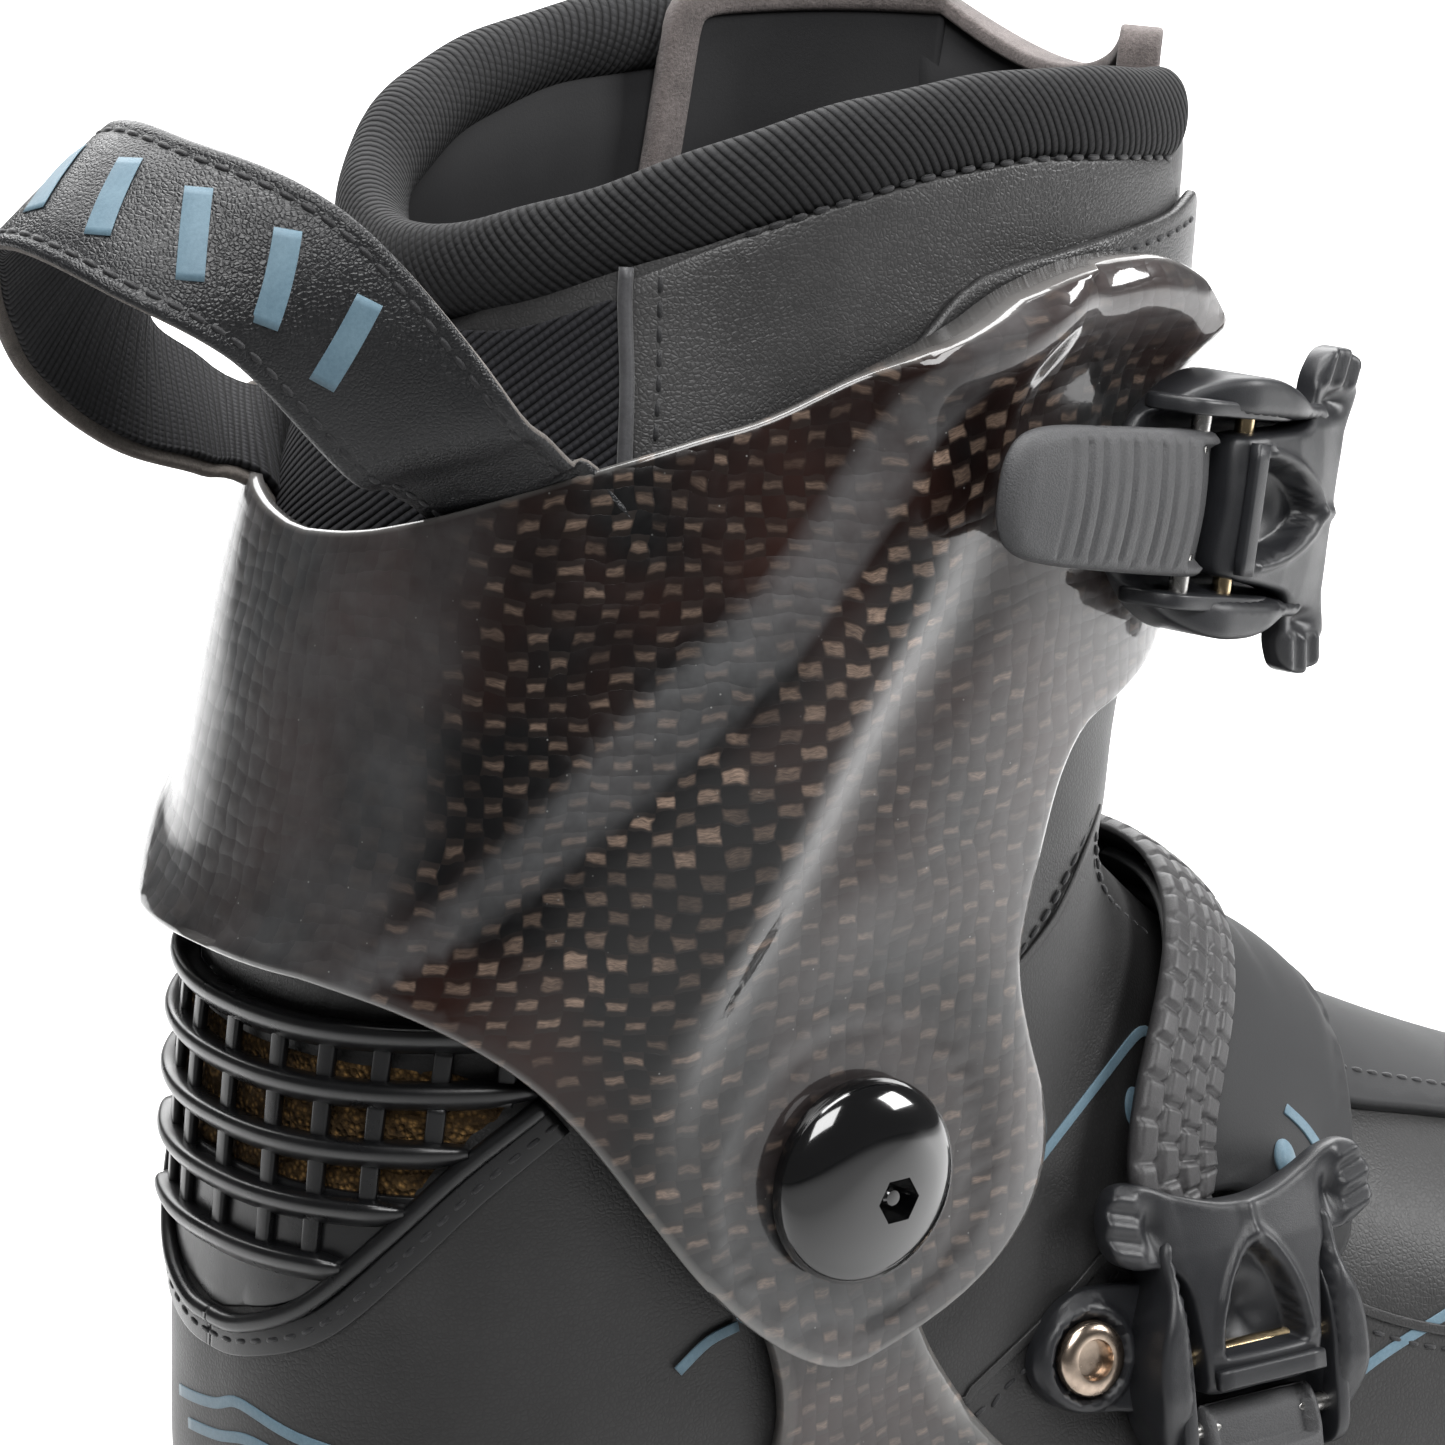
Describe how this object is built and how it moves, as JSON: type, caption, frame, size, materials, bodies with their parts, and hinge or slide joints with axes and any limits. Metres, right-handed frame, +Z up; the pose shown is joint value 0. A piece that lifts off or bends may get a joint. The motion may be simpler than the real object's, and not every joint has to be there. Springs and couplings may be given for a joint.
{
  "type": "cross country boot",
  "caption": "Roller-ski cross country boot, right foot: soft boot on a carbon chassis with a hinged carbon cuff, ratchet buckles and a heel pull loop.",
  "frame": {"origin": "on the ground plane straight below the ankle pivot, on the flat underside of the sole between its two guide grooves", "axes": "+X towards the toe, +Y towards the inner (medial) side, +Z up; the ankle pivot axis is parallel to Y at z = 0.088"},
  "size_m": [0.3153, 0.111, 0.212],
  "materials": {
    "carbon": "clear-coated plain-weave carbon fibre with bronze flecks",
    "leather": "fine-grained synthetic leather, satin",
    "synthetic": "smooth matt microfibre",
    "twill": "black twill knit",
    "foam": "open-cell padding foam",
    "tpu": "moulded soft plastic, satin",
    "nylon": "moulded glass-filled nylon, fine texture",
    "rubber": "matt moulded rubber",
    "steel": "bright steel",
    "black_metal": "gloss black anodised",
    "bronze": "turned, bronze-toned zinc plating",
    "board": "pressed fibre board"
  },
  "bodies": {
    "root": {"outsole": "rubber", "toe_bar": "steel", "footbed": "twill", "insole_board": "board", "heel_counter": "board", "upper": "synthetic", "vent_foam": "foam", "ankle_flex_panel": "synthetic", "achilles_flex_panel": "twill", "tongue_flex_panel": "synthetic", "tongue_base": "synthetic", "lace_1": "twill", "lace_2": "twill", "lace_3": "twill", "lace_4": "twill", "lace_5": "twill", "lace_cover": "synthetic", "instep_pad": "synthetic", "instep_strap": "nylon", "heel_vent": "tpu", "toe_cap": "tpu", "chassis": "carbon", "pivot_bolt_lateral": "black_metal", "pivot_bush_lateral": "steel", "pivot_nut_lateral": "steel", "pivot_bolt_medial": "black_metal", "pivot_bush_medial": "steel", "pivot_nut_medial": "steel", "instep_buckle_base": "nylon", "instep_buckle_lever_pin": "steel", "instep_buckle_latch_pin": "steel", "instep_buckle_screw": "bronze"},
    "shaft": {"cuff": "carbon", "collar": "leather", "collar_roll": "twill", "shaft_liner": "twill", "tongue_shaft": "synthetic", "shin_overlay_lateral": "leather", "shin_overlay_medial": "leather", "cuff_buckle_base": "nylon", "cuff_buckle_lever_pin": "steel", "cuff_buckle_latch_pin": "steel", "cuff_strap": "nylon", "pull_loop": "leather", "pull_loop_ribbon": "twill"},
    "cuff_lever": {"cuff_buckle_lever": "nylon"},
    "cuff_latch": {"cuff_buckle_latch": "nylon"},
    "instep_lever": {"instep_buckle_lever": "nylon"},
    "instep_latch": {"instep_buckle_latch": "nylon"}
  },
  "joints": [
    {"name": "cuff_flex", "type": "hinge", "parent": "root", "child": "shaft", "pos_m": [0, 0, 0.088], "axis": [0, 1, 0], "range_deg": [-6, 20], "stiffness_Nm_per_rad": 6, "deforming": ["ankle_flex_panel", "achilles_flex_panel", "tongue_flex_panel"]},
    {"name": "cuff_lever_hinge", "type": "hinge", "parent": "shaft", "child": "cuff_lever", "pos_m": [0.04287, -0.04794, 0.162], "axis": [0.2008, 0.0538, 0.9781], "range_deg": [0, 75]},
    {"name": "cuff_latch_hinge", "type": "hinge", "parent": "shaft", "child": "cuff_latch", "pos_m": [0.05132, -0.04547, 0.16013], "axis": [-0.2008, -0.0538, -0.9781], "range_deg": [0, 14], "stiffness_Nm_per_rad": 0.2, "springref_deg": -5.73},
    {"name": "instep_lever_hinge", "type": "hinge", "parent": "root", "child": "instep_lever", "pos_m": [0.05761, -0.04584, 0.04687], "axis": [-0.9975, 0.0692, -0.0109], "range_deg": [0, 75]},
    {"name": "instep_latch_hinge", "type": "hinge", "parent": "root", "child": "instep_latch", "pos_m": [0.05762, -0.04424, 0.05573], "axis": [0.9975, -0.0692, 0.0109], "range_deg": [0, 14], "stiffness_Nm_per_rad": 0.2, "springref_deg": -5.73}
  ]
}
